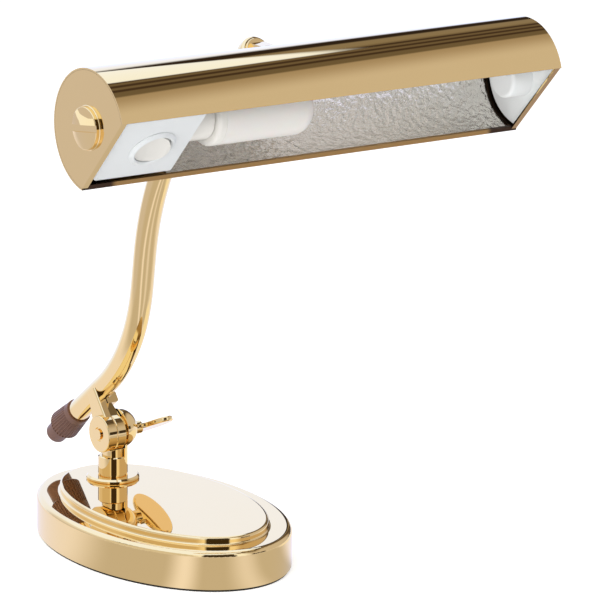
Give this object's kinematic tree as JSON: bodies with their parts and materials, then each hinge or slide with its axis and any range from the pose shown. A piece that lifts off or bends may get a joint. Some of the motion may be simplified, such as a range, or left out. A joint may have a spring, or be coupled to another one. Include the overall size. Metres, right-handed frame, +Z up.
{
  "type": "piano lamp",
  "caption": "Polished brass piano lamp: weighted oval base, split clamp joint, bent sliding arm and a slit tube shade that tilts, with a tubular lamp and a round rocker switch inside.",
  "frame": {"origin": "on the table, under the axis of the post", "axes": "+Z up; +X along the shade towards its plain end; -Y towards the player"},
  "size_m": [0.2568, 0.2541, 0.2763],
  "materials": {
    "polished_brass": "mirror polished and lacquered",
    "turned_brass": "plain turned",
    "black_pad": "soft foam",
    "cast_weight": "as cast, black",
    "zinc_steel": "zinc plated",
    "natural_nylon": "satin",
    "brown_plastic": "moulded, fine satin",
    "bright_lining": "bright, hammered",
    "white_plastic": "moulded, semi gloss",
    "ivory_plastic": "moulded, semi gloss",
    "warm_white_plastic": "moulded, satin",
    "opal_plastic": "opal, satin",
    "nickel_cap": "nickel plated, rolled thread"
  },
  "bodies": {
    "base": {"base_pad": "black_pad", "base_weight": "cast_weight", "base_shell": "polished_brass", "post_rosette": "polished_brass", "post": "polished_brass", "fixing_washer": "zinc_steel", "fixing_nut": "zinc_steel"},
    "clamp": {"clamp_cheek": "polished_brass", "clamp_claw": "polished_brass", "tilt_washer": "polished_brass"},
    "thumb": {"thumb_screw": "polished_brass"},
    "arm": {"arm_tube": "polished_brass", "gland_collar": "brown_plastic", "gland_nose": "brown_plastic", "gland_spigot": "brown_plastic", "arm_collar": "polished_brass", "arm_eye": "polished_brass"},
    "shade": {"head_fork": "polished_brass", "friction_washers": "natural_nylon", "pivot_screw": "polished_brass", "pivot_nut": "polished_brass", "shade_saddle": "zinc_steel", "shade_nut": "zinc_steel", "shade_tube": "polished_brass", "end_cap_left": "polished_brass", "end_cap_right": "polished_brass", "reflector": "bright_lining", "coin_screws": "polished_brass", "coin_washers": "polished_brass", "cap_inserts": "turned_brass", "socket_housing": "white_plastic", "end_plate": "white_plastic", "switch_body": "white_plastic", "switch_blades": "turned_brass", "lamp_holder": "warm_white_plastic", "holder_nut": "warm_white_plastic", "thread_shell": "turned_brass", "centre_contact": "turned_brass", "lamp_cap": "nickel_cap", "lamp_base": "warm_white_plastic", "lamp_cover": "opal_plastic"},
    "rocker": {"switch_rocker": "ivory_plastic"}
  },
  "joints": [
    {"name": "arm_tilt", "type": "hinge", "parent": "base", "child": "clamp", "pos_m": [0, 0, 0.0485], "axis": [1, 0, 0], "range_deg": [-10, 38]},
    {"name": "arm_slide", "type": "slide", "parent": "clamp", "child": "arm", "axis": [0, -0.7848, 0.6198], "range_m": [0, 0.018]},
    {"name": "thumb_screw_turn", "type": "hinge", "parent": "clamp", "child": "thumb", "pos_m": [0, 0, 0.0485], "axis": [1, 0, 0], "range_deg": [-10, 350]},
    {"name": "shade_tilt", "type": "hinge", "parent": "arm", "child": "shade", "pos_m": [0, -0.13502, 0.26258], "axis": [1, 0, 0], "range_deg": [-35, 50]},
    {"name": "switch_rocker", "type": "hinge", "parent": "shade", "child": "rocker", "pos_m": [-0.097, -0.17738, 0.23959], "axis": [0, -0.6762, 0.7367], "range_deg": [0, 16]}
  ]
}
